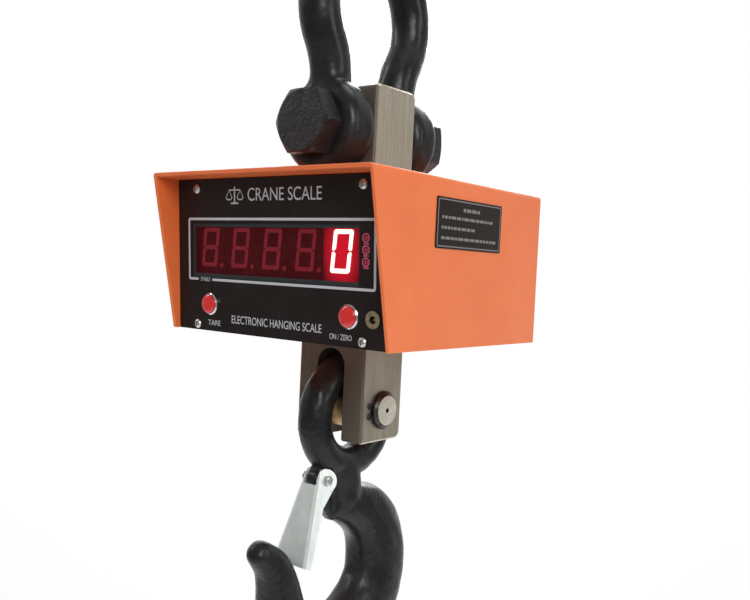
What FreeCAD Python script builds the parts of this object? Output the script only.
"""Crane scale: shackle, strain gauge load cell, display housing and a latched eye hook.

Frame: X across the front (right is +X), Y from the front panel to the back, Z up.
The origin is the point inside the shackle's crown that bears on the crane's hook.
The load cell's centre line is the Z axis.
"""
import FreeCAD, Part
import math
import os
import re
import Sketcher
from FreeCAD import Placement, Rotation, Vector

# ---------------------------------------------------------------- driving dimensions, mm and degrees
SIZES = {
    # shackle, the standard 12 tonne bow pattern
    "bow_bar": 32,
    "bow_inside_width": 83,
    "bow_inside_length": 119,
    "bow_blend": 60,
    "shackle_jaw": 52,
    "ear_diameter": 74,
    "ear_thickness": 30,
    "ear_rounding": 9,
    "bolt_diameter": 35,
    "bolt_flats": 52,
    "bolt_head_flats": 47,
    "bolt_head_height": 17,
    "nut_height": 20,
    "bolt_tail": 11,
    "cotter_wire": 2.4,
    # load cell
    "cell_width": 67,
    "cell_thickness": 50,
    "cell_length": 276,
    "cell_above_bolt": 34,
    "cell_edge": 1.5,
    "cell_crown": 6,
    "slot_width": 28,
    "slot_depth": 72,
    "running_gap": 0.05,
    "gauge_pocket": 34,
    "gauge_pocket_depth": 14,
    "gauge_height": 62,
    # hook pin
    "hook_pin_diameter": 28,
    "hook_pin_drop": 217,
    "hook_pin_length": 78,
    "hook_pin_chamfer": 2.4,
    "circlip_diameter": 37,
    "circlip_thickness": 1.5,
    "bush_diameter": 36,
    # housing
    "bolt_above_base": 161,
    "housing_width": 217,
    "housing_height": 120,
    "cell_to_panel": 89.4,
    "cell_to_rear": 102.6,
    "hood_sheet": 3,
    "hood_bend": 3.2,
    "overhang_top": 30.4,
    "overhang_foot": 4.5,
    "cell_opening_gap": 1.5,
    "chassis_sheet": 2,
    "chassis_gap": 0.3,
    "rear_lip": 14,
    "panel_lean": 3.72,
    "panel_sheet": 2,
    # display, in the panel's own plane
    "window_left": -89.5,
    "window_right": 79.5,
    "window_low": 41.5,
    "window_high": 83,
    "lens_thickness": 3,
    "digit_pitch": 33.4,
    "digit_first": -73.3,
    "digit_height": 64.8,
    "digit_module_width": 33,
    "digit_module_height": 40,
    "digit_module_depth": 10,
    "digit_face_depth": 4.6,
    "board_sheet": 1.6,
    "indicator_across": 85.2,
    "indicator_low": 58.4,
    "indicator_pitch": 8.05,
    # controls
    "tare_across": -68,
    "power_across": 71.5,
    "button_height": 21.3,
    "bezel_diameter": 17,
    "bezel_height": 2.4,
    "barrel_diameter": 15,
    "barrel_length": 22,
    "cap_diameter": 14.4,
    "cap_skirt": 12,
    "cap_travel": 2,
    "cap_proud": 2.9,
    "socket_across": 92.4,
    "socket_height": 20.6,
    "socket_flange": 12,
    "socket_barrel": 8,
    "panel_screw_across": 83,
    "panel_screw_low": 5,
    "panel_screw_high": 109.5,
    # rating plate on the right side
    "plate_length": 87,
    "plate_height": 35.6,
    "plate_sheet": 0.8,
    "plate_middle": -4.8,
    "plate_above_base": 88.4,
    # hook
    "hook_tilt": 9.5,
    "eye_centreline": 39.2,
    "eye_bar": 26.6,
    "bowl_drop": 127,
    "latch_pin_forward": 25,
    "latch_pin_drop": 60,
    "latch_pin_diameter": 5.6,
    "latch_sheet": 1.6,
    "latch_splay": 17,
    "ear_radius": 8.5,
    "lug_width": 10.4,
    "lug_radius": 8,
}

doc = FreeCAD.newDocument("CraneScale")
sheet = doc.addObject("Spreadsheet::Sheet", "Sizes")
for row, (alias, value) in enumerate(SIZES.items(), start=1):
    sheet.set(f"A{row}", alias)
    sheet.set(f"B{row}", str(value))
    sheet.setAlias(f"B{row}", alias)
doc.recompute()

# formulas that several pieces share
BOLT_Z = "-(bow_inside_length + bolt_diameter / 2)"
BASE_Z = f"({BOLT_Z} - bolt_above_base)"
HOOK_PIN_Z = f"({BOLT_Z} - hook_pin_drop)"
CELL_TOP_Z = f"({BOLT_Z} + cell_above_bolt)"
HOOD_INNER = "(housing_width / 2 - hood_sheet)"
EYE_DROP = "(eye_centreline - eye_bar / 2 - bush_diameter / 2 - running_gap)"
CHASSIS_WIDTH = "(housing_width - 2 * hood_sheet - 2 * chassis_gap)"
CHASSIS_TOP = "(housing_height - hood_sheet - chassis_gap)"

nodes = {}


def size(alias):
    """A driving dimension as a number, for shapes that are made in code."""
    return float(sheet.get(alias))


def to_sheet(text):
    """A formula on aliases, as an expression on the spreadsheet."""
    return re.sub(r"[a-z][a-z_]+", lambda word: _alias(word.group(0)), str(text))


def _alias(word):
    return "Sizes." + word if word in SIZES else word


def number(text):
    """The value of a formula on aliases."""
    filled = re.sub(r"[a-z][a-z_]+", lambda word: str(SIZES[word.group(0)]), str(text))
    return float(FreeCAD.Units.Quantity(filled).Value)


def bind(item, **formulas):
    for path, text in formulas.items():
        item.setExpression(path.replace("__", "."), to_sheet(text))
    return item


def node(label, item):
    """Register a finished sub-part: its label names its file."""
    item.Label = label
    nodes[label] = item
    return item


# ---------------------------------------------------------------- Part primitives
AXIS_TURNS = {
    "+X": Rotation(Vector(0, 1, 0), 90),
    "-X": Rotation(Vector(0, 1, 0), -90),
    "+Y": Rotation(Vector(1, 0, 0), -90),
    "-Y": Rotation(Vector(1, 0, 0), 90),
    "+Z": Rotation(),
    "-Z": Rotation(Vector(1, 0, 0), 180),
}


def move(item, x="0", y="0", z="0"):
    return bind(item, Placement__Base__x=x, Placement__Base__y=y, Placement__Base__z=z)


def turn(item, axis):
    item.Placement = Placement(Vector(), AXIS_TURNS[axis])
    return item


def block(wide, deep, high, x="0", y="0", z="0"):
    """A box whose bottom face is centred on x, y at height z."""
    item = doc.addObject("Part::Box", "Block")
    bind(item, Length=wide, Width=deep, Height=high)
    return move(item, f"({x}) - ({wide}) / 2", f"({y}) - ({deep}) / 2", z)


def rod(radius, length, axis="+Z", x="0", y="0", z="0"):
    """A cylinder that starts at x, y, z and runs along an axis."""
    item = turn(doc.addObject("Part::Cylinder", "Rod"), axis)
    bind(item, Radius=radius, Height=length)
    return move(item, x, y, z)


def cone(start, end, length, axis="+Z", x="0", y="0", z="0"):
    item = turn(doc.addObject("Part::Cone", "Cone"), axis)
    bind(item, Radius1=start, Radius2=end, Height=length)
    return move(item, x, y, z)


def ring(radius, wire, axis="+Z", x="0", y="0", z="0"):
    item = turn(doc.addObject("Part::Torus", "Ring"), axis)
    bind(item, Radius1=radius, Radius2=wire)
    return move(item, x, y, z)


def hexagon(flats, height, axis="+Z", x="0", y="0", z="0", quarter=0):
    """A hexagonal prism; quarter turns it 30 degrees about its own axis."""
    item = doc.addObject("Part::Prism", "Hexagon")
    spin = Rotation(Vector(0, 0, 1), 30 * quarter)
    item.Placement = Placement(Vector(), AXIS_TURNS[axis].multiply(spin))
    item.Polygon = 6
    bind(item, Circumradius=f"({flats}) / sqrt(3)", Height=height)
    return move(item, x, y, z)


def cut(base, *tools):
    item = doc.addObject("Part::Cut", "Cut")
    item.Base = base
    item.Tool = tools[0] if len(tools) == 1 else fuse(*tools)
    return item


def fuse(*parts):
    item = doc.addObject("Part::MultiFuse", "Union")
    item.Shapes = list(parts)
    return item


def common(*parts):
    item = doc.addObject("Part::MultiCommon", "Overlap")
    item.Shapes = list(parts)
    return item


def group(*parts):
    """Separate solids that share one node."""
    item = doc.addObject("Part::Compound", "Group")
    item.Links = list(parts)
    return item


def rounded(base, radius, wanted):
    """Fillet the edges of base for which wanted(edge) is true."""
    doc.recompute()
    item = doc.addObject("Part::Fillet", "Rounded")
    item.Base = base
    chosen = [i for i, edge in enumerate(base.Shape.Edges, start=1) if wanted(edge)]
    item.Edges = [(i, size(radius), size(radius)) for i in chosen]
    return item


def solid(name, shape):
    item = doc.addObject("Part::Feature", name)
    item.Shape = shape
    return item


# ---------------------------------------------------------------- PartDesign bodies
def new_body(name):
    return doc.addObject("PartDesign::Body", name)


def new_sketch(body, role, offset="0"):
    """A sketch on one of the body's own origin planes, moved along that plane's normal."""
    sketch = body.newObject("Sketcher::SketchObject", "Sketch")
    plane = next(item for item in body.Origin.OriginFeatures if item.Role == role)
    sketch.AttachmentSupport = (plane, [""])
    sketch.MapMode = "FlatFace"
    bind(sketch, AttachmentOffset__Base__z=offset)
    return sketch


def bind_point(sketch, geometry, end, x, y):
    """Hold one sketch point at two formulas, measured from the sketch's origin."""
    for kind, text in (("DistanceX", x), ("DistanceY", y)):
        index = sketch.addConstraint(
            Sketcher.Constraint(kind, -1, 1, geometry, end, number(text)))
        name = f"{kind[-1].lower()}{index}"
        sketch.renameConstraint(index, name)
        sketch.setExpression("Constraints." + name, to_sheet(text))


def outline(sketch, corners):
    """A closed outline of straight lines through corners given as formulas."""
    spots = [Vector(number(x), number(y), 0) for x, y in corners]
    lines = []
    for start, end in zip(spots, spots[1:] + spots[:1]):
        lines.append(sketch.addGeometry(Part.LineSegment(start, end)))
    for first, second in zip(lines, lines[1:] + lines[:1]):
        sketch.addConstraint(Sketcher.Constraint("Coincident", first, 2, second, 1))
    for line, (x, y) in zip(lines, corners):
        bind_point(sketch, line, 1, x, y)


def rectangle(sketch, left, right, low, high):
    outline(sketch, [(left, low), (right, low), (right, high), (left, high)])


def circle(sketch, radius, x="0", y="0"):
    middle = Vector(number(x), number(y), 0)
    index = sketch.addGeometry(Part.Circle(middle, Vector(0, 0, 1), number(radius)))
    held = sketch.addConstraint(Sketcher.Constraint("Radius", index, number(radius)))
    name = f"radius{held}"
    sketch.renameConstraint(held, name)
    sketch.setExpression("Constraints." + name, to_sheet(radius))
    bind_point(sketch, index, 3, x, y)


def pad(body, sketch, length, both=False, backwards=False):
    feature = body.newObject("PartDesign::Pad", "Pad")
    feature.Profile = sketch
    feature.Midplane = both
    feature.Reversed = backwards
    return bind(feature, Length=length)


def pocket(body, sketch, length=None, both=False, backwards=False):
    """Cut a sketch into the body: through everything when no length is given."""
    before = body_volume(body)
    feature = body.newObject("PartDesign::Pocket", "Pocket")
    feature.Profile = sketch
    feature.Reversed = backwards
    feature.Midplane = both
    if length is None:
        feature.Type = "ThroughAll"
    else:
        bind(feature, Length=length)
    if body_volume(body) >= before - 1e-6:
        raise RuntimeError(f"{body.Name}: {feature.Name} cuts nothing")
    return feature


def body_volume(body):
    doc.recompute()
    return body.Shape.Volume


def dress(body, kind, radius, wanted):
    """A fillet or chamfer on the edges of the body for which wanted(edge) is true."""
    doc.recompute()
    base = body.Tip
    names = [f"Edge{i}" for i, edge in enumerate(base.Shape.Edges, start=1) if wanted(edge)]
    feature = body.newObject("PartDesign::" + kind, kind)
    feature.Base = (base, names)
    if kind == "Fillet":
        bind(feature, Radius=radius)
    else:
        bind(feature, Size=radius)
    return feature


def along(edge, axis, tolerance=1e-3):
    """True for a straight edge that runs along X, Y or Z."""
    if edge.Curve.TypeId != "Part::GeomLine":
        return False
    direction = edge.Curve.Direction
    return abs(abs(getattr(direction, axis)) - 1) < tolerance


def at(edge, axis, text, tolerance=0.01):
    """True when the middle of an edge lies at a formula's value along an axis."""
    return abs(getattr(edge.BoundBox.Center, axis) - number(text)) < tolerance


# ---------------------------------------------------------------- placements that pieces share
def on_panel(item):
    """Place a piece drawn in the panel's plane: x across, y inwards, z up from its foot."""
    item.Placement = Placement(Vector(), Rotation(Vector(1, 0, 0), size("panel_lean")))
    return bind(item, Placement__Base__y="-cell_to_panel", Placement__Base__z=BASE_Z,
                Placement__Rotation__Angle="panel_lean")


def on_hook(item):
    """Place a piece drawn in the hook's plane: y to the hook's back, z up from the pin's axis."""
    item.Placement = Placement(Vector(), Rotation(Vector(-1, 0, 0), size("hook_tilt")))
    return bind(item, Placement__Base__z=HOOK_PIN_Z, Placement__Rotation__Angle="hook_tilt")


def outward(shape):
    """The same solid with its faces turned outwards."""
    return shape if shape.Volume > 0 else shape.reversed()


# ---------------------------------------------------------------- lofted forgings
SEAM = 1.2  # bearing of the seam around a forged section, in radians


def section(centre, normal, half_depth, half_width):
    """One closed oval section square to the forging's line, flattened a little at its sides."""
    points = []
    count = 16
    for step in range(count):
        angle = SEAM + 2 * math.pi * step / count
        c = math.cos(angle)
        s = math.sin(angle)
        squareness = (abs(c) ** 2.3 + abs(s) ** 2.3) ** (-1 / 2.3)
        points.append(centre + normal * (half_depth * c * squareness)
                      + Vector(half_width * s * squareness, 0, 0))
    curve = Part.BSplineCurve()
    curve.interpolate(points, PeriodicFlag=True)
    return Part.Wire(curve.toShape())


def forging(stations):
    """A smooth bar through stations of (y, z, half depth, half width) in the YZ plane."""
    middles = [Vector(0, y, z) for y, z, _, _ in stations]
    wires = []
    for index, (_, _, half_depth, half_width) in enumerate(stations):
        before = middles[max(index - 1, 0)]
        after = middles[min(index + 1, len(middles) - 1)]
        forward = (after - before).normalize()
        normal = Vector(0, forward.z, -forward.y)
        wires.append(section(middles[index], normal, half_depth, half_width))
    return outward(Part.makeLoft(wires, True, False))


# ---------------------------------------------------------------- shackle
def shackle_bow():
    """Round bar bent into a bow, with a forged eye at the foot of each leg."""
    bar = size("bow_bar") / 2
    reach = size("bow_inside_width") / 2 + bar
    leg = (size("shackle_jaw") + size("ear_thickness")) / 2
    blend = size("bow_blend")
    bolt_z = number(BOLT_Z)
    centre_z = -size("bow_inside_width") / 2
    waist = math.acos((leg + blend) / (reach + blend))
    blend_z = centre_z - (reach + blend) * math.sin(waist)

    def crown(angle):
        return Vector(0, reach * math.cos(angle), centre_z + reach * math.sin(angle))

    def inward(side, angle):
        return Vector(0, side * (leg + blend - blend * math.cos(angle)),
                      blend_z + blend * math.sin(angle))

    edges = [
        Part.LineSegment(Vector(0, leg, bolt_z), inward(1, 0)).toShape(),
        Part.Arc(inward(1, 0), inward(1, waist / 2), inward(1, waist)).toShape(),
        Part.Arc(crown(-waist), crown(math.pi / 2), crown(math.pi + waist)).toShape(),
        Part.Arc(inward(-1, waist), inward(-1, waist / 2), inward(-1, 0)).toShape(),
        Part.LineSegment(inward(-1, 0), Vector(0, -leg, bolt_z)).toShape()]
    profile = Part.Wire(Part.makeCircle(bar, Vector(0, leg, bolt_z), Vector(0, 0, 1)))
    shape = outward(Part.Wire(edges).makePipeShell([profile], True, False))
    half_jaw = size("shackle_jaw") / 2
    radius = size("ear_diameter") / 2
    for side in (-1, 1):
        ear = Part.makeCylinder(radius, size("ear_thickness"), Vector(0, side * half_jaw, bolt_z),
                                Vector(0, side, 0))
        rims = [e for e in ear.Edges if e.Curve.TypeId == "Part::GeomCircle"]
        shape = shape.fuse(ear.makeFillet(size("ear_rounding"), rims))
        outer = side * (half_jaw + size("ear_thickness"))
        seat = Part.makeBox(2 * radius, 6, 2 * radius,
                            Vector(-radius, min(outer, outer + 6 * side), bolt_z - radius))
        shape = shape.cut(seat)
    jaw = Part.makeBox(4 * radius, 2 * half_jaw, 3 * radius,
                       Vector(-2 * radius, -half_jaw, bolt_z - 1.5 * radius))
    bore = Part.makeCylinder(size("bolt_diameter") / 2 + 0.4, 200, Vector(0, -100, bolt_z),
                             Vector(0, 1, 0))
    shape = shape.cut([jaw, bore]).removeSplitter()
    return node("shackle_bow", solid("ShackleBow", shape))


def chamfered_hexagon(flats, height, axis, y, z, quarter, far_face):
    """A forged hexagon whose corners are turned off at 30 degrees on its outer face."""
    prism = hexagon(flats, height, axis, y=y, z=z, quarter=quarter)
    face = f"0.96 * ({flats}) / 2"
    turned = cone(f"{face} + 1.732 * ({height})", face, height, axis, y=y, z=z)
    if far_face:
        return common(prism, turned)
    opposite = {"+Y": "-Y", "-Y": "+Y"}[axis]
    sign = "+" if axis == "+Y" else "-"
    back = cone(f"{face} + 1.732 * ({height})", face, height, opposite,
                y=f"({y}) {sign} ({height})", z=z)
    return common(prism, turned, back)


def shackle_bolt():
    ear_face = "(shackle_jaw / 2 + ear_thickness)"
    head = chamfered_hexagon("bolt_head_flats", "bolt_head_height", "-Y", f"-{ear_face}", BOLT_Z, 0,
                             True)
    length = f"(2 * {ear_face} + nut_height + bolt_tail)"
    shank = rod("bolt_diameter / 2", f"{length} - 2.5", "+Y", y=f"-{ear_face}", z=BOLT_Z)
    tip = cone("bolt_diameter / 2", "bolt_diameter / 2 - 2.5", "2.5", "+Y",
               y=f"-{ear_face} + {length} - 2.5", z=BOLT_Z)
    hole = rod("cotter_wire + 0.4", "bolt_diameter + 10", "+Z",
               y=f"{ear_face} + nut_height + bolt_tail / 2", z=f"{BOLT_Z} - bolt_diameter / 2 - 5")
    return node("shackle_bolt", cut(fuse(head, shank, tip), hole))


def shackle_nut():
    face = "(shackle_jaw / 2 + ear_thickness)"
    body = chamfered_hexagon("bolt_flats", "nut_height", "+Y", face, BOLT_Z, 1, False)
    bore = rod("bolt_diameter / 2 + running_gap", "nut_height + 2", "+Y", y=f"{face} - 1", z=BOLT_Z)
    return node("shackle_nut", cut(body, bore))


def shackle_cotter_pin():
    """Split pin: one wire looped over the bolt, both legs down its hole and opened under it."""
    wire = size("cotter_wire") / 2
    middle_y = number("shackle_jaw / 2 + ear_thickness + nut_height + bolt_tail / 2")
    top = number(BOLT_Z) + size("bolt_diameter") / 2 + 0.6
    low = number(BOLT_Z) - size("bolt_diameter") / 2 - 2
    half = wire + 0.1
    throat = 2
    loop = 3.4
    loop_z = top + math.sqrt((loop + throat) ** 2 - (half + throat) ** 2)
    share = throat / (loop + throat)
    joins = Vector(1, 0, 0) * (half + throat) * (1 - share)
    join = Vector(joins.x, middle_y, top + (loop_z - top) * share)
    turned = math.atan2(loop_z - top, half + throat) / 2
    rise = Vector(half + throat - throat * math.cos(turned), middle_y, top + throat * math.sin(turned))
    foot = Vector(half, middle_y, low)
    slack = Vector(half + 4 * (1 - math.cos(math.pi / 4)), middle_y, low - 4 * math.sin(math.pi / 4))
    toe = Vector(half + 4, middle_y, low - 4)
    end = toe + Vector(7, 0, 0)

    def other(point):
        return Vector(-point.x, point.y, point.z)

    head = Vector(half, middle_y, top)
    crown = Vector(0, middle_y, loop_z + loop)
    edges = [
        Part.LineSegment(end, toe).toShape(), Part.Arc(toe, slack, foot).toShape(),
        Part.LineSegment(foot, head).toShape(), Part.Arc(head, rise, join).toShape(),
        Part.Arc(join, crown, other(join)).toShape(),
        Part.Arc(other(join), other(rise), other(head)).toShape(),
        Part.LineSegment(other(head), other(foot)).toShape(),
        Part.Arc(other(foot), other(slack), other(toe)).toShape(),
        Part.LineSegment(other(toe), other(end)).toShape()]
    profile = Part.Wire(Part.makeCircle(wire, end, Vector(1, 0, 0)))
    shape = outward(Part.Wire(edges).makePipeShell([profile], True, False))
    return node("shackle_cotter_pin", solid("ShackleCotterPin", shape))


# ---------------------------------------------------------------- load cell and hook pin
def load_cell():
    body = new_body("LoadCell")
    plan = new_sketch(body, "XY_Plane", f"{CELL_TOP_Z} - cell_length")
    rectangle(plan, "-cell_width / 2", "cell_width / 2", "-cell_thickness / 2", "cell_thickness / 2")
    pad(body, plan, "cell_length")
    dress(body, "Fillet", "cell_crown", lambda e: along(e, "x") and at(e, "z", CELL_TOP_Z))
    dress(body, "Fillet", "cell_crown", lambda e: along(e, "x") and at(e, "y", "cell_thickness / 2")
          and at(e, "z", f"{CELL_TOP_Z} - cell_length"))
    dress(body, "Chamfer", "cell_edge", lambda e: along(e, "z") or (
        along(e, "x") and at(e, "z", f"{CELL_TOP_Z} - cell_length")))
    fork = new_sketch(body, "XZ_Plane")
    low = f"{CELL_TOP_Z} - cell_length"
    rectangle(fork, "-slot_width / 2", "slot_width / 2", f"{low} - 5",
              f"{low} + slot_depth - slot_width / 2")
    pocket(body, fork, both=True)
    arch = new_sketch(body, "XZ_Plane")
    circle(arch, "slot_width / 2", "0", f"{low} + slot_depth - slot_width / 2")
    pocket(body, arch, both=True)
    upper = new_sketch(body, "XZ_Plane")
    circle(upper, "bolt_diameter / 2 + running_gap", "0", BOLT_Z)
    pocket(body, upper, both=True)
    lower = new_sketch(body, "YZ_Plane")
    circle(lower, "hook_pin_diameter / 2 + running_gap", "0", HOOK_PIN_Z)
    pocket(body, lower, both=True)
    for backwards in (False, True):
        sign = "-" if backwards else ""
        gauge = new_sketch(body, "YZ_Plane", f"{sign}(cell_width / 2)")
        circle(gauge, "gauge_pocket / 2", "0", f"{BASE_Z} + gauge_height")
        pocket(body, gauge, "gauge_pocket_depth", backwards=backwards)
        threads = new_sketch(body, "YZ_Plane", f"{sign}(cell_width / 2)")
        for side in ("-", ""):
            circle(threads, "3.05", f"{side}14", f"{BASE_Z} + 26")
        pocket(body, threads, "12", backwards=backwards)
    return node("load_cell", body)


def gauge_pocket_covers():
    covers = []
    for axis, x in (("-X", "cell_width / 2"), ("+X", "-cell_width / 2")):
        covers.append(rod("gauge_pocket / 2 - 0.1", "2", axis, x=x, z=f"{BASE_Z} + gauge_height"))
    return node("gauge_pocket_covers", group(*covers))


def hook_pin():
    half = "hook_pin_length / 2"
    core = rod("hook_pin_diameter / 2", "hook_pin_length - 2 * hook_pin_chamfer", "+X",
               x=f"-{half} + hook_pin_chamfer", z=HOOK_PIN_Z)
    tips = []
    for axis, sign in (("+X", ""), ("-X", "-")):
        tips.append(cone("hook_pin_diameter / 2", "hook_pin_diameter / 2 - hook_pin_chamfer",
                         "hook_pin_chamfer", axis, x=f"{sign}({half} - hook_pin_chamfer)",
                         z=HOOK_PIN_Z))
    centres = []
    grooves = []
    for axis, sign in (("-X", ""), ("+X", "-")):
        centres.append(rod("1.8", "5", axis, x=f"{sign}{half}", z=HOOK_PIN_Z))
        outer = rod("hook_pin_diameter / 2 + 2", "circlip_thickness + 0.1", axis,
                    x=f"{sign}(cell_width / 2 + 0.1 + circlip_thickness + 0.05)", z=HOOK_PIN_Z)
        inner = rod("hook_pin_diameter / 2 - 0.9", "circlip_thickness + 2", axis,
                    x=f"{sign}(cell_width / 2 + 1.1 + circlip_thickness)", z=HOOK_PIN_Z)
        grooves.append(cut(outer, inner))
    return node("hook_pin", cut(fuse(core, *tips), *centres, *grooves))


def hook_pin_circlips():
    """External circlips with their opening at the front and two drilled lugs."""
    clips = []
    for sign in ("", "-"):
        start = f"{sign}(cell_width / 2 + 0.1)"
        axis = "+X" if sign == "" else "-X"
        band = rod("hook_pin_diameter / 2 + 1.1", "circlip_thickness", axis, x=start, z=HOOK_PIN_Z)
        lugs = []
        holes = []
        for side in ("", "-"):
            lug_y = "-(circlip_diameter / 2 - 2.4)"
            lug_z = f"{HOOK_PIN_Z} + {side}4.2"
            lugs.append(rod("2.4", "circlip_thickness", axis, x=start, y=lug_y, z=lug_z))
            holes.append(rod("1", "circlip_thickness * 3", axis, x=f"{start} - {sign}1",
                             y=lug_y, z=lug_z))
        bore = rod("hook_pin_diameter / 2 - 0.85", "circlip_thickness * 3", axis,
                   x=f"{start} - {sign}1", z=HOOK_PIN_Z)
        mouth = block("circlip_thickness * 4", "circlip_diameter / 2", "3",
                      start, "-circlip_diameter / 3 - 4", f"{HOOK_PIN_Z} - 1.5")
        clips.append(cut(fuse(band, *lugs), bore, mouth, *holes))
    return node("hook_pin_circlips", group(*clips))


def hook_pin_bush():
    start = "-(slot_width - 1) / 2"
    outer = rod("bush_diameter / 2", "slot_width - 1", "+X", x=start, z=HOOK_PIN_Z)
    inner = rod("hook_pin_diameter / 2 + running_gap", "slot_width + 1", "+X", x=f"{start} - 1",
                z=HOOK_PIN_Z)
    return node("hook_pin_bush", cut(outer, inner))


# ---------------------------------------------------------------- housing
def slant_y(height):
    """Where the hood's front edge is at a height above the base."""
    foot = "(cell_to_panel + overhang_foot)"
    run = "(overhang_top - overhang_foot)"
    return f"-({foot} + {run} * ({height}) / housing_height)"


def hood():
    """Top and sides folded from one sheet, with lips at the back and a slanted front edge."""
    body = new_body("Hood")
    fold = new_sketch(body, "XZ_Plane", "-cell_to_rear")
    wide = "housing_width / 2"
    top = f"{BASE_Z} + housing_height"
    outline(fold, [
        (f"-{wide}", BASE_Z), (f"-{wide} + hood_sheet", BASE_Z),
        (f"-{wide} + hood_sheet", f"{top} - hood_sheet"), (f"{wide} - hood_sheet", f"{top} - hood_sheet"),
        (f"{wide} - hood_sheet", BASE_Z), (wide, BASE_Z), (wide, top), (f"-{wide}", top)])
    pad(body, fold, "cell_to_rear + cell_to_panel + overhang_top")
    dress(body, "Fillet", "hood_bend", lambda e: along(e, "y") and at(e, "z", top)
          and abs(e.BoundBox.Center.x) > number(wide) - 0.1)
    front = new_sketch(body, "YZ_Plane")
    outline(front, [
        (slant_y("-10"), f"{BASE_Z} - 10"), (slant_y("housing_height + 10"), f"{top} + 10"),
        ("-(cell_to_panel + overhang_top + 30)", f"{top} + 10"),
        ("-(cell_to_panel + overhang_top + 30)", f"{BASE_Z} - 10")])
    pocket(body, front, both=True)
    opening = new_sketch(body, "XY_Plane", f"{top} + 1")
    rectangle(opening, "-(cell_width / 2 + cell_opening_gap)", "cell_width / 2 + cell_opening_gap",
              "-(cell_thickness / 2 + cell_opening_gap)", "cell_thickness / 2 + cell_opening_gap")
    pocket(body, opening, "hood_sheet + 2")
    lips = new_sketch(body, "XZ_Plane", "-(cell_to_rear - 2 - chassis_sheet - chassis_gap)")
    for sign in ("-", ""):
        outer = f"{sign}{HOOD_INNER}"
        inner = f"{sign}({HOOD_INNER} - rear_lip)"
        left, right = (outer, inner) if sign else (inner, outer)
        rectangle(lips, left, right, f"{BASE_Z} + 6", f"{top} - hood_sheet")
    pad(body, lips, "chassis_sheet")
    holes = new_sketch(body, "XZ_Plane", "-cell_to_rear")
    for x, z in rear_screw_places():
        circle(holes, "1.7", x, z)
    pocket(body, holes, "14", backwards=True)
    return node("hood", body)


def rear_screw_places():
    across = f"({HOOD_INNER} - rear_lip / 2)"
    places = []
    for sign in ("-", ""):
        for height in ("16", "100"):
            places.append((f"{sign}{across}", f"{BASE_Z} + {height}"))
    return places


def wall_height(height):
    """Where a height up the leaning panel crosses the wall behind it, in the row frame."""
    upright = round(math.cos(math.radians(SIZES["panel_lean"])), 5)
    return f"{BASE_Z} + ({height}) * {upright} + 0.2"


def chassis():
    """Base, leaning front wall and rear wall folded from one sheet."""
    body = new_body("Chassis")
    side = new_sketch(body, "YZ_Plane")
    gap = "(panel_sheet + 0.1)"
    front_foot = f"(-cell_to_panel + {gap})"
    slope = round(math.tan(math.radians(SIZES["panel_lean"])), 5)
    rear = "(cell_to_rear - 1.2)"
    high = f"({CHASSIS_TOP})"
    outline(side, [
        (front_foot, BASE_Z),
        (rear, BASE_Z),
        (rear, f"{BASE_Z} + {high}"),
        (f"{rear} - chassis_sheet", f"{BASE_Z} + {high}"),
        (f"{rear} - chassis_sheet", f"{BASE_Z} + chassis_sheet"),
        (f"{front_foot} + chassis_sheet - {slope} * chassis_sheet", f"{BASE_Z} + chassis_sheet"),
        (f"{front_foot} + chassis_sheet - {slope} * {high}", f"{BASE_Z} + {high}"),
        (f"{front_foot} - {slope} * {high}", f"{BASE_Z} + {high}")])
    pad(body, side, CHASSIS_WIDTH, both=True)
    opening = new_sketch(body, "XY_Plane", f"{BASE_Z} - 1")
    rectangle(opening, "-(cell_width / 2 + cell_opening_gap)", "cell_width / 2 + cell_opening_gap",
              "-(cell_thickness / 2 + cell_opening_gap)", "cell_thickness / 2 + cell_opening_gap")
    for x, y in base_screw_places():
        circle(opening, "2.2", x, y)
    for x, y in strap_screw_places():
        circle(opening, "1.7", x, y)
    pocket(body, opening, "chassis_sheet + 2", backwards=True)
    front = new_sketch(body, "XZ_Plane", "cell_to_panel + 20")
    rectangle(front, "window_left - 1.5", "window_right + 1.5", wall_height("window_low - 1.5"),
              wall_height("window_high + 1.5"))
    for x in ("tare_across", "power_across"):
        circle(front, "barrel_diameter / 2 + 0.6", x, wall_height("button_height"))
    circle(front, "socket_barrel / 2 + 0.5", "socket_across", wall_height("socket_height"))
    for x, z in panel_screw_places():
        circle(front, "1.85", x, wall_height(z))
    pocket(body, front, "40")
    slots = new_sketch(body, "XZ_Plane", "cell_to_panel + 20")
    rectangle(slots, "indicator_across - 3", "indicator_across + 3",
              wall_height("indicator_low - 4"), wall_height("indicator_low + 2 * indicator_pitch + 4"))
    pocket(body, slots, "40")
    rear_holes = new_sketch(body, "XZ_Plane", "-cell_to_rear")
    for x, z in rear_screw_places():
        circle(rear_holes, "2.2", x, z)
    pocket(body, rear_holes, "6", backwards=True)
    return node("chassis", body)


def panel_screw_places():
    places = []
    for sign in ("-", ""):
        for height in ("panel_screw_low", "panel_screw_high"):
            places.append((f"{sign}panel_screw_across", height))
    return places


def base_screw_places():
    places = []
    for x in ("-(cell_width / 2 + 14)", "cell_width / 2 + 14"):
        for y in ("-14", "14"):
            places.append((x, y))
    return places


def strap_screw_places():
    return [("-60", "63"), ("60", "63")]


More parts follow.
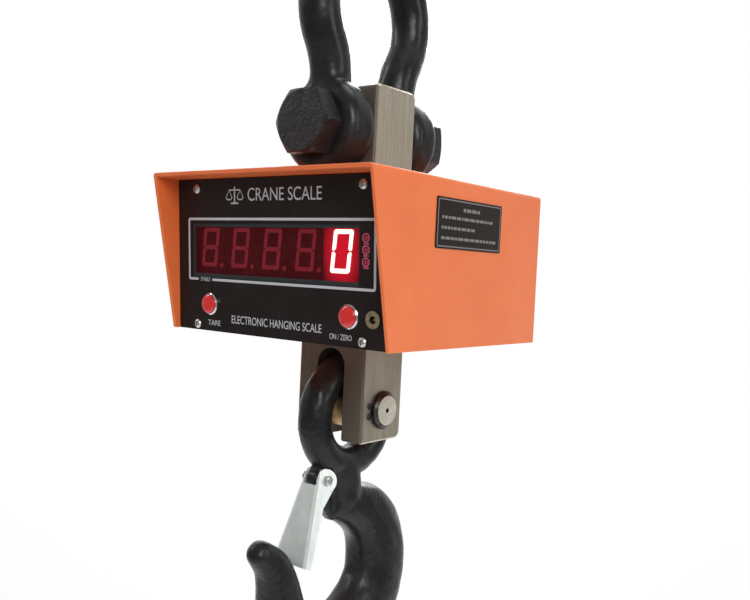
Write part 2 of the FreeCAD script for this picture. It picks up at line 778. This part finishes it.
def domed_screw(label, head, high, shank, length):
    """One pan head screw drawn at the origin, driven along +Y: domed head and cross recess."""
    radius = number(f"({head}) / 2")
    height = number(high)
    rim = Vector(radius, -height * 0.35, 0)
    middle = Vector(radius * 0.72, -height * 0.86, 0)
    top = Vector(0, -height, 0)
    stem = number(f"({shank}) / 2")
    reach = number(length)
    edges = [
        Part.LineSegment(Vector(0, reach, 0), Vector(stem, reach, 0)).toShape(),
        Part.LineSegment(Vector(stem, reach, 0), Vector(stem, 0, 0)).toShape(),
        Part.LineSegment(Vector(stem, 0, 0), Vector(radius, 0, 0)).toShape(),
        Part.LineSegment(Vector(radius, 0, 0), rim).toShape(),
        Part.Arc(rim, middle, top).toShape(),
        Part.LineSegment(top, Vector(0, reach, 0)).toShape()]
    turned = Part.Face(Part.Wire(edges)).revolve(Vector(), Vector(0, 1, 0), 360)
    slot = 0.26 * radius
    span = 1.25 * radius
    depth = 0.62 * height
    bars = [Part.makeBox(span, depth + 1, slot, Vector(-span / 2, -height - 1, -slot / 2)),
            Part.makeBox(slot, depth + 1, span, Vector(-slot / 2, -height - 1, -span / 2))]
    item = solid(label, turned.cut(bars))
    return item


def screw_set(label, master, places, axis):
    """Copies of one screw at several places, driven along an axis."""
    turns = {"+Y": Rotation(), "-Y": Rotation(Vector(0, 0, 1), 180),
             "+Z": Rotation(Vector(1, 0, 0), 90), "-Z": Rotation(Vector(1, 0, 0), -90),
             "+X": Rotation(Vector(0, 0, 1), -90), "-X": Rotation(Vector(0, 0, 1), 90)}
    copies = []
    for x, y, z in places:
        copy = doc.addObject("App::Link", "Copy")
        copy.LinkedObject = master
        copy.LinkTransform = False
        copy.Placement = Placement(Vector(), turns[axis])
        copies.append(move(copy, x, y, z))
    return node(label, group(*copies))


def housing_screws():
    panel = domed_screw("PanelScrew", "7", "2.3", "3.3", "9")
    on_panel(screw_set("panel_screws", panel,
                       [(x, "0", z) for x, z in panel_screw_places()], "+Y"))
    small = domed_screw("SmallScrew", "6", "2", "3.3", "8")
    rear = "(cell_to_rear - 1.2)"
    screw_set("rear_screws", small, [(x, rear, z) for x, z in rear_screw_places()], "-Y")
    wide = domed_screw("BaseScrew", "8", "2.5", "4.2", "7")
    screw_set("base_screws", wide, [(x, y, BASE_Z) for x, y in base_screw_places()], "+Z")
    strap = domed_screw("StrapScrew", "6", "2", "3.3", "6.5")
    screw_set("battery_strap_screws", strap,
              [(x, y, f"{BASE_Z} + chassis_sheet + 2") for x, y in strap_screw_places()], "-Z")


def cell_brackets():
    """Steel angles that carry the chassis: bolted to the load cell, screwed to the base."""
    for label, sign in (("cell_bracket_left", "-"), ("cell_bracket_right", "")):
        face = f"{sign}(cell_width / 2)"
        upright = block("3", "44", "34", f"{sign}(cell_width / 2 + 1.5)", "0", f"{BASE_Z} + chassis_sheet")
        foot = block("26", "44", "3", f"{sign}(cell_width / 2 + 13)", "0", f"{BASE_Z} + chassis_sheet")
        holes = []
        for y in ("-14", "14"):
            holes.append(rod("3.2", "40", "+X", x=f"{face} - 20", y=y, z=f"{BASE_Z} + 26"))
            holes.append(rod("2.15", "20", "+Z", x=f"{sign}(cell_width / 2 + 14)", y=y,
                             z=f"{BASE_Z} - 5"))
        node(label, cut(fuse(upright, foot), *holes))


def cell_bracket_bolts():
    bolts = []
    for axis, sign in (("-X", ""), ("+X", "-")):
        opposite = "+X" if axis == "-X" else "-X"
        for y in ("-14", "14"):
            face = f"{sign}(cell_width / 2 + 3)"
            head = hexagon("10", "4", opposite, x=face, y=y, z=f"{BASE_Z} + 26")
            shank = rod("3", "13", axis, x=face, y=y, z=f"{BASE_Z} + 26")
            bolts.append(fuse(head, shank))
    return node("cell_bracket_bolts", group(*bolts))


# ---------------------------------------------------------------- front panel and display
def front_panel():
    body = new_body("FrontPanel")
    face = new_sketch(body, "XZ_Plane")
    rectangle(face, f"-{HOOD_INNER} + chassis_gap", f"{HOOD_INNER} - chassis_gap", "0.2",
              f"{CHASSIS_TOP} - 0.3")
    rectangle(face, "window_left", "window_right", "window_low", "window_high")
    for x in ("tare_across", "power_across"):
        circle(face, "barrel_diameter / 2 + 0.2", x, "button_height")
    circle(face, "socket_barrel / 2 + 0.1", "socket_across", "socket_height")
    for row in range(3):
        circle(face, "2.05", "indicator_across", f"indicator_low + {row} * indicator_pitch")
    for x, z in panel_screw_places():
        circle(face, "1.75", x, z)
    pad(body, face, "panel_sheet", backwards=True)
    return node("front_panel", on_panel(body))


def display_lens():
    body = new_body("DisplayLens")
    face = new_sketch(body, "XZ_Plane", "-0.5")
    rectangle(face, "window_left + 0.15", "window_right - 0.15", "window_low + 0.15",
              "window_high - 0.15")
    pad(body, face, "lens_thickness", backwards=True)
    return node("display_lens", on_panel(body))


def led_digits():
    """Five seven segment modules; each face has the slanted light windows of its segments."""
    for index in range(5):
        body = new_body("LedDigit")
        middle = f"(digit_first + {index} * digit_pitch)"
        face = new_sketch(body, "XZ_Plane", "-digit_face_depth")
        rectangle(face, f"{middle} - digit_module_width / 2", f"{middle} + digit_module_width / 2",
                  "digit_height - digit_module_height / 2 - 2.5",
                  "digit_height + digit_module_height / 2 - 2.5")
        pad(body, face, "digit_module_depth", backwards=True)
        node(f"led_digit_{index + 1}", on_panel(body))


def display_board():
    body = new_body("DisplayBoard")
    face = new_sketch(body, "XZ_Plane", "-(digit_face_depth + digit_module_depth + 0.05)")
    rectangle(face, "-98", "98", "38", "90")
    for x, z in spacer_places():
        circle(face, "1.7", x, z)
    pad(body, face, "board_sheet", backwards=True)
    return node("display_board", on_panel(body))


def spacer_places():
    return [("-94", "42"), ("-94", "86"), ("94", "42"), ("94", "86")]


def display_spacers():
    start = "panel_sheet + 0.15 + chassis_sheet"
    spacers = []
    for x, z in spacer_places():
        spacers.append(hexagon("5", f"digit_face_depth + digit_module_depth - ({start})", "+Y",
                               x=x, y=start, z=z))
    return node("display_spacers", on_panel(group(*spacers)))


def indicator_leds():
    lamps = []
    for row in range(3):
        height = f"indicator_low + {row} * indicator_pitch"
        dome = doc.addObject("Part::Sphere", "Dome")
        bind(dome, Radius="1.95")
        move(dome, "indicator_across", "1.1", height)
        post = rod("1.95", "digit_face_depth + digit_module_depth - 1.1", "+Y",
                   x="indicator_across", y="1.1", z=height)
        lamps.append(fuse(dome, post))
    return node("indicator_leds", on_panel(group(*lamps)))


# ---------------------------------------------------------------- push buttons and charge socket
def push_button(name, across):
    """Bezel with a threaded barrel, its nut, a return spring and a domed cap on a stem."""
    height = "button_height"
    flange = cone("bezel_diameter / 2", "bezel_diameter / 2 - 0.9", "0.9", "-Y", x=across,
                  y="-bezel_height + 0.9", z=height)
    plain = rod("bezel_diameter / 2", "bezel_height - 0.9", "-Y", x=across, z=height)
    barrel = rod("barrel_diameter / 2", "barrel_length", "+Y", x=across, z=height)
    well = rod("cap_diameter / 2 + running_gap", "bezel_height", "+Y", x=across, y="-bezel_height",
               z=height)
    skirt_bore = rod("cap_skirt / 2 + running_gap", "bezel_height + 8", "+Y", x=across,
                     y="-bezel_height", z=height)
    stem_bore = rod("3 + running_gap", "barrel_length + 2", "+Y", x=across, z=height)
    spring_seat = rod("5.2", "5.5", "+Y", x=across, y="7", z=height)
    body = cut(fuse(flange, plain, barrel), well, skirt_bore, stem_bore, spring_seat)
    on_panel(node(f"{name}_button_body", body))
    nut_face = "panel_sheet + 0.2 + chassis_sheet"
    nut = cut(hexagon("19", "3", "+Y", x=across, y=nut_face, z=height),
              rod("barrel_diameter / 2 + running_gap", "8", "+Y", x=across, y="1", z=height))
    on_panel(node(f"{name}_button_nut", nut))
    rings = [ring("4.2", "0.45", "+Y", across, f"8.6 + {step} * 1.15", height) for step in range(4)]
    on_panel(node(f"{name}_button_spring", group(*rings)))
    front = "(-bezel_height - cap_proud)"
    edge = rod("cap_diameter / 2", f"-cap_travel - 0.1 - ({front} + 1.9)", "+Y", x=across,
               y=f"{front} + 1.9", z=height)
    skirt = rod("cap_skirt / 2", "cap_travel + 4.6", "+Y", x=across, y="-cap_travel - 0.1", z=height)
    dome = cone("cap_diameter / 2", "cap_diameter / 2 - 1.1", "0.9", "-Y", x=across,
                y=f"{front} + 1.9", z=height)
    shoulder = cone("cap_diameter / 2 - 1.1", "cap_diameter / 2 - 2.8", "0.6", "-Y", x=across,
                    y=f"{front} + 1", z=height)
    crown = cone("cap_diameter / 2 - 2.8", "cap_diameter / 2 - 5", "0.4", "-Y", x=across,
                 y=f"{front} + 0.4", z=height)
    stem = rod("3", "15", "+Y", x=across, y="4", z=height)
    on_panel(node(f"{name}_button_cap", fuse(edge, skirt, dome, shoulder, crown, stem)))


def charge_socket():
    """Brass jack: thin flange, threaded barrel and a plug bore."""
    flange = rod("socket_flange / 2", "1.6", "-Y", x="socket_across", z="socket_height")
    barrel = rod("socket_barrel / 2", "14", "+Y", x="socket_across", z="socket_height")
    bore = rod("2.75", "12", "+Y", x="socket_across", y="-2", z="socket_height")
    pin = rod("0.9", "9.5", "+Y", x="socket_across", y="0.6", z="socket_height")
    on_panel(node("charge_socket", fuse(cut(fuse(flange, barrel), bore), pin)))
    nut_face = "panel_sheet + 0.2 + chassis_sheet"
    nut = cut(hexagon("11", "2.5", "+Y", x="socket_across", y=nut_face, z="socket_height"),
              rod("socket_barrel / 2 + running_gap", "8", "+Y", x="socket_across", y="1",
                  z="socket_height"))
    on_panel(node("charge_socket_nut", nut))


def rating_plate():
    body = new_body("RatingPlate")
    face = new_sketch(body, "YZ_Plane", "housing_width / 2")
    rectangle(face, "plate_middle - plate_length / 2", "plate_middle + plate_length / 2",
              f"{BASE_Z} + plate_above_base - plate_height / 2",
              f"{BASE_Z} + plate_above_base + plate_height / 2")
    pad(body, face, "plate_sheet")
    dress(body, "Fillet", "hood_bend * 0.4", lambda e: along(e, "x"))
    return node("rating_plate", body)


# ---------------------------------------------------------------- inside the housing
def electronics():
    low = f"{BASE_Z} + chassis_sheet"
    body = new_body("MainBoard")
    plan = new_sketch(body, "XY_Plane", f"{low} + 8")
    rectangle(plan, "-98", "-50", "-55", "35")
    for x, y in board_hole_places():
        circle(plan, "1.7", x, y)
    pad(body, plan, "board_sheet")
    node("main_board", body)
    spacers = []
    for x, y in board_hole_places():
        spacers.append(hexagon("5", "8", "+Z", x=x, y=y, z=low))
    node("board_spacers", group(*spacers))
    screws = domed_screw("BoardScrew", "5", "1.8", "2.4", "1.6")
    top = f"{low} + 8 + board_sheet"
    screw_set("board_screws", screws, [(x, y, top) for x, y in board_hole_places()], "-Z")
    parts = [block("18", "18", "4", "-74", "-8", top), block("10", "20", "12", "-86", "14", top),
             rod("5", "16", "+Z", x="-64", y="20", z=top), rod("4", "12", "+Z", x="-62", y="4", z=top),
             block("12", "8", "9", "-74", "-47", top), block("9", "7", "6", "-88", "-20", top)]
    node("board_components", group(*parts))
    battery = block("101", "47", "70", "0", "63", low)
    node("battery", rounded(battery, "hood_bend", lambda e: along(e, "z")))
    inner = block("101.4", "16", "70.4", "0", "63", low)
    outer = block("104.4", "16", "71.9", "0", "63", low)
    feet = block("134", "16", "2", "0", "63", low)
    holes = [rod("1.75", "10", "+Z", x=x, y=y, z=f"{low} - 2") for x, y in strap_screw_places()]
    node("battery_strap", cut(fuse(outer, feet), inner, *holes))


def board_hole_places():
    return [("-94", "-51"), ("-94", "31"), ("-54", "-51"), ("-54", "31")]


def tube(points, radius):
    """A round cable through points: straight runs joined by tangent arcs as large as they allow."""
    spots = [Vector(*point) for point in points]
    edges = []
    start = spots[0]
    for before, corner, after in zip(spots, spots[1:], spots[2:]):
        arrive = corner - before
        leave = after - corner
        reach = 0.45 * min(arrive.Length, leave.Length)
        enter = corner - Vector(arrive).normalize() * reach
        depart = corner + Vector(leave).normalize() * reach
        half_turn = Vector(arrive).getAngle(leave) / 2
        bend = reach / math.tan(half_turn)
        bisector = (Vector(leave).normalize() - Vector(arrive).normalize()).normalize()
        middle = corner + bisector * (bend / math.cos(half_turn) - bend)
        edges.append(Part.LineSegment(start, enter).toShape())
        edges.append(Part.Arc(enter, middle, depart).toShape())
        print(f"cable bend radius {bend:.1f} mm")
        start = depart
    edges.append(Part.LineSegment(start, spots[-1]).toShape())
    path = Part.Wire(edges)
    direction = spots[1] - spots[0]
    profile = Part.Wire(Part.makeCircle(radius, spots[0], direction))
    shape = outward(path.makePipeShell([profile], True, False))
    expected = math.pi * radius * radius * path.Length
    if abs(shape.Volume - expected) > 0.01 * expected:
        raise RuntimeError("a cable's tube has the wrong volume")
    return shape


def cables():
    base = number(BASE_Z)
    gauge = base + size("gauge_height")
    side = -size("cell_width") / 2
    signal = [(side, 0, gauge), (side - 16, 0, gauge), (side - 30, 2, gauge - 12),
              (side - 34, -6, gauge - 26), (side - 34, -16, gauge - 36.4)]
    shape = tube(signal, 2.2)
    node("load_cell_cable", solid("LoadCellCable", shape))
    display_back = -size("cell_to_panel") + 20
    connector_top = base + size("chassis_sheet") + 8 + size("board_sheet") + 9
    ribbon = [(-60, display_back, base + 50), (-60, display_back + 12, base + 50),
              (-64, display_back + 18, base + 42), (-74, -47, base + 36), (-74, -47, connector_top)]
    node("display_cable", solid("DisplayCable", tube(ribbon, 1.8)))


# ---------------------------------------------------------------- hook and latch
def limb_stations():
    """The hook's limb about the centre of its bowl: bearing, distance, half depth, half width."""
    limb = [
        (171.5, 76.3, 10.2, 10.2), (176, 64.8, 12.8, 12.6), (184.5, 57, 14.6, 14.6), (197, 53.2, 16, 16.2),
        (215, 54.6, 18.6, 17.4), (240, 59, 22, 18.6), (270, 65, 27, 20), (300, 69, 31, 20.8),
        (335, 69.5, 31.5, 20.8), (360, 66, 29, 20.5), (378, 62.5, 27.5, 20), (393, 59.5, 25.5, 19),
        (408, 55.5, 23.2, 17.8), (423, 50.9, 19.7, 16.6), (440, 48.6, 16.1, 14.4),
        (456, 49.8, 13.4, 10.6)]
    stations = []
    for bearing, distance, half_depth, half_width in limb:
        angle = math.radians(bearing)
        stations.append((distance * math.cos(angle), distance * math.sin(angle) - size("bowl_drop"),
                         half_depth, half_width))
    first = stations[0]
    outward_y = first[0] - stations[1][0]
    outward_z = first[1] - stations[1][1]
    length = math.hypot(outward_y, outward_z)
    tip = []
    for share in (0.985, 0.85, 0.55):
        shrink = math.sqrt(1 - share * share)
        along_tip = first[2] * share / length
        tip.append((first[0] + outward_y * along_tip, first[1] + outward_z * along_tip,
                    first[2] * shrink, first[3] * shrink))
    return tip + stations


NECK = [(0, -43, 23, 12.4), (0.5, -50, 20, 13.4), (3, -58.5, 17, 14.6), (5.5, -67, 16, 15.4),
        (9, -77, 14.5, 15), (12, -86, 10, 12)]


EAR_RELIEF_DEPTH = 8


def hook_body():
    """Forged hook: eye, neck, deep bowl, turned out tip and a lug; the eye is eased for the latch's ears."""
    eye_z = -number(EYE_DROP)
    eye = Part.makeTorus(size("eye_centreline"), size("eye_bar") / 2, Vector(0, 0, eye_z),
                         Vector(1, 0, 0))
    hinge = Vector(0, -size("latch_pin_forward"), -size("latch_pin_drop"))
    half = size("lug_width") / 2
    for start in (half + 0.3, -half - 0.3 - EAR_RELIEF_DEPTH):
        relief = Part.makeCylinder(size("ear_radius") + 0.6, EAR_RELIEF_DEPTH, hinge + Vector(start, 0, 0),
                                   Vector(1, 0, 0))
        eye = eye.cut(relief)
    lug = Part.makeCylinder(size("lug_radius"), 2 * half, hinge - Vector(half, 0, 0), Vector(1, 0, 0))
    corners = [Vector(-half, hinge.y + 2, hinge.z + size("lug_radius")), Vector(-half, 0, -50),
               Vector(-half, 8, -84), Vector(-half, -3.8, -93.4), Vector(-half, -18.2, -82.4),
               Vector(-half, hinge.y, hinge.z - size("lug_radius"))]
    web = Part.Face(Part.makePolygon(corners + corners[:1])).extrude(Vector(2 * half, 0, 0))
    bore = Part.makeCylinder(size("latch_pin_diameter") / 2 + size("running_gap"), 60,
                             hinge - Vector(30, 0, 0), Vector(1, 0, 0))
    shape = forging(limb_stations()).fuse(forging(NECK)).fuse(eye).fuse([lug, web])
    return node("hook_body", on_hook(solid("HookBody", shape.cut(bore).removeSplitter())))


LATCH_FRONT_TOP = (-34.1, -64.5)
LATCH_FRONT_LOW = (-43.2, -124.5)


def latch():
    """Folded channel with splayed sides: its web closes the throat, its ears carry the hinge."""
    hinge_y = -size("latch_pin_forward")
    hinge_z = -size("latch_pin_drop")
    sheet_t = size("latch_sheet")
    flare = math.tan(math.radians(size("latch_splay")))
    slope = (LATCH_FRONT_LOW[0] - LATCH_FRONT_TOP[0]) / (LATCH_FRONT_LOW[1] - LATCH_FRONT_TOP[1])

    def channel(z, half):
        front = LATCH_FRONT_TOP[0] + slope * (z - LATCH_FRONT_TOP[1])
        back = hinge_y + 12
        fold = 1.2
        wide = half + flare * (back - front - fold)
        inset = sheet_t * math.hypot(1, flare)
        right_side = [(half - 2.4, front), (half, front + fold), (wide, back), (wide - inset, back),
                      (half - inset, front + fold + sheet_t * 0.5),
                      (half - 2.4 - sheet_t * 0.4, front + sheet_t)]
        corners = right_side + [(-x, y) for x, y in right_side[::-1]]
        spots = [Vector(x, y, z) for x, y in corners]
        return Part.makePolygon(spots + spots[:1])

    folded = Part.makeLoft([channel(-50, 6.6), channel(-128, 17.4)], True, True)
    reach = 25
    side = [Vector(-reach, LATCH_FRONT_TOP[0] - 1, LATCH_FRONT_TOP[1]),
            Vector(-reach, LATCH_FRONT_LOW[0] - 1, LATCH_FRONT_LOW[1]),
            Vector(-reach, -38, -126), Vector(-reach, -28, -81), Vector(-reach, -16.9, -62.6),
            Vector(-reach, hinge_y, hinge_z)]
    plate = Part.Face(Part.makePolygon(side + side[:1])).extrude(Vector(2 * reach, 0, 0))
    hinge = Vector(-reach, hinge_y, hinge_z)
    disc = Part.makeCylinder(size("ear_radius"), 2 * reach, hinge, Vector(1, 0, 0))
    shape = folded.common(plate.fuse(disc))
    web_top = Part.makeBox(30, 9, 20, Vector(-15, LATCH_FRONT_TOP[0] - 4, LATCH_FRONT_TOP[1]))
    web_top = web_top.common(Part.makeBox(2 * size("lug_width") * 0.62, 20, 40,
                                          Vector(-size("lug_width") * 0.62, -50, -80)))
    shape = shape.cut(web_top)
    bore = Part.makeCylinder(size("latch_pin_diameter") / 2 + size("running_gap"), 2 * reach, hinge,
                             Vector(1, 0, 0))
    shape = shape.cut(bore)
    for start in (11.7, -reach):
        spot_face = Part.makeCylinder(4.2, reach - 11.7, Vector(start, hinge_y, hinge_z), Vector(1, 0, 0))
        shape = shape.cut(spot_face)
    return node("latch", on_hook(solid("Latch", shape.removeSplitter())))


def latch_pin():
    y = "-latch_pin_forward"
    z = "-latch_pin_drop"
    shank = rod("latch_pin_diameter / 2", "24", "+X", x="-12", y=y, z=z)
    heads = []
    for axis, sign in (("+X", ""), ("-X", "-")):
        heads.append(rod("3.9", "0.8", axis, x=f"{sign}11.8", y=y, z=z))
        heads.append(cone("3.9", "2.6", "0.8", axis, x=f"{sign}12.6", y=y, z=z))
    return node("latch_pin", on_hook(fuse(shank, *heads)))


def latch_spring():
    """Torsion coil on each side of the lug with a leg along the hook's neck."""
    y = "-latch_pin_forward"
    z = "-latch_pin_drop"
    coils = []
    for sign in ("", "-"):
        turns = [ring("3.3", "0.4", "+X", f"{sign}(lug_width / 2 + 0.5 + {step} * 0.75)", y, z)
                 for step in range(2)]
        leg = rod("0.4", "7", "-Z", x=f"{sign}(lug_width / 2 + 0.5)", y=f"{y} - 3.3", z=z)
        coils.append(fuse(*turns, leg))
    return node("latch_spring", on_hook(group(*coils)))


# ---------------------------------------------------------------- build, check and write
shackle_bow()
shackle_bolt()
shackle_nut()
shackle_cotter_pin()
load_cell()
gauge_pocket_covers()
hook_pin()
hook_pin_circlips()
hook_pin_bush()
hood()
chassis()
cell_brackets()
cell_bracket_bolts()
housing_screws()
front_panel()
display_lens()
led_digits()
display_board()
display_spacers()
indicator_leds()
push_button("tare", "tare_across")
push_button("power", "power_across")
charge_socket()
rating_plate()
electronics()
cables()
hook_body()
latch()
latch_pin()
latch_spring()
doc.recompute()

for item in doc.Objects:
    if "Invalid" in item.State or "Error" in item.State:
        raise RuntimeError(f"{item.Name} ({item.Label}) failed: {item.State}")
for label, item in nodes.items():
    if item.Shape.isNull() or not item.Shape.isValid() or not item.Shape.Solids:
        raise RuntimeError(f"{label} is not a valid solid")

os.makedirs("parts", exist_ok=True)
for label, item in nodes.items():
    item.Shape.exportStep(f"parts/{label}.step")
    box = item.Shape.BoundBox
    print(f"{label:22s} solids {len(item.Shape.Solids)}  volume {item.Shape.Volume:10.0f}  "
          f"x {box.XMin:7.1f} {box.XMax:7.1f}  y {box.YMin:7.1f} {box.YMax:7.1f}  "
          f"z {box.ZMin:7.1f} {box.ZMax:7.1f}")
print(len(nodes), "nodes")
